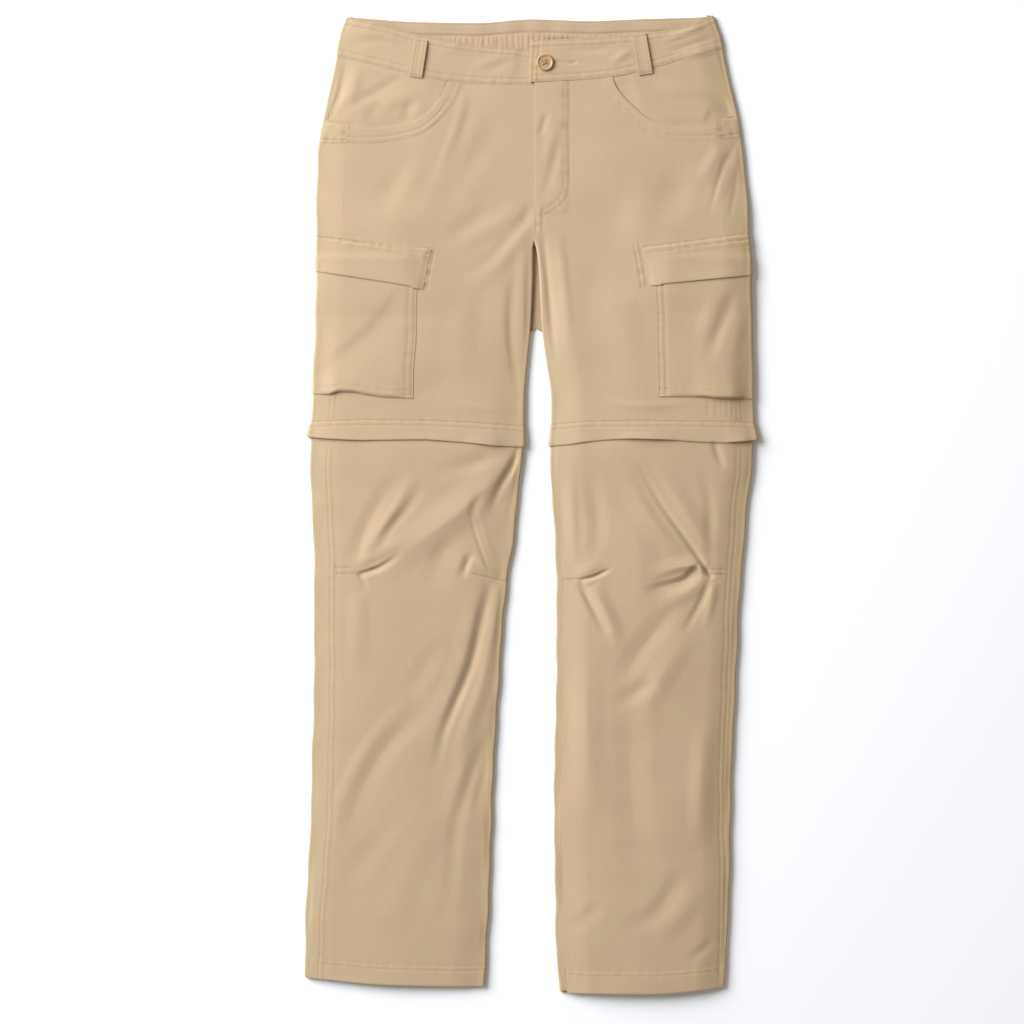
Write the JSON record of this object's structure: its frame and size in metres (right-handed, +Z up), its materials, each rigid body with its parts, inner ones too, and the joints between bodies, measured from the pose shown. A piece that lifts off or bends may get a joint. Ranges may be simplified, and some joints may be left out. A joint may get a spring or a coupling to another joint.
{
  "type": "convertible zip-off trousers",
  "caption": "Zip-off cargo trousers laid flat, front up: buttoned waistband with belt loops, hand pockets, bellows cargo pockets with flaps, and leg zips under cover bands.",
  "frame": {"origin": "on the floor that the trousers lie on, at the middle of their length and width", "axes": "+X towards the wearer's left, +Y along the legs towards the waist, +Z up from the floor, out of the front of the trousers"},
  "size_m": [0.4946, 1.0655, 0.013],
  "materials": {
    "cloth": "matte",
    "lining": "matte",
    "zip": "satin",
    "button": "gloss"
  },
  "bodies": {
    "root": {"waistband_front_right": "cloth", "waistband_front_left": "cloth", "front_thigh_right": "cloth", "front_thigh_left": "cloth", "back_thigh_right": "cloth", "back_thigh_left": "cloth", "pocket_facing_right": "cloth", "pocket_facing_left": "cloth", "cargo_bag_right": "cloth", "cargo_bag_left": "cloth", "cargo_flap_right": "cloth", "cargo_flap_left": "cloth", "zip_cover_right": "cloth", "zip_cover_left": "cloth", "front_leg_right": "cloth", "front_leg_left": "cloth", "back_leg_right": "cloth", "back_leg_left": "cloth", "belt_loop_right": "cloth", "belt_loop_left": "cloth", "knee_zip_right": "zip", "knee_zip_left": "zip", "waistband_back": "lining", "fly_zip": "zip", "button": "button"}
  },
  "joints": []
}
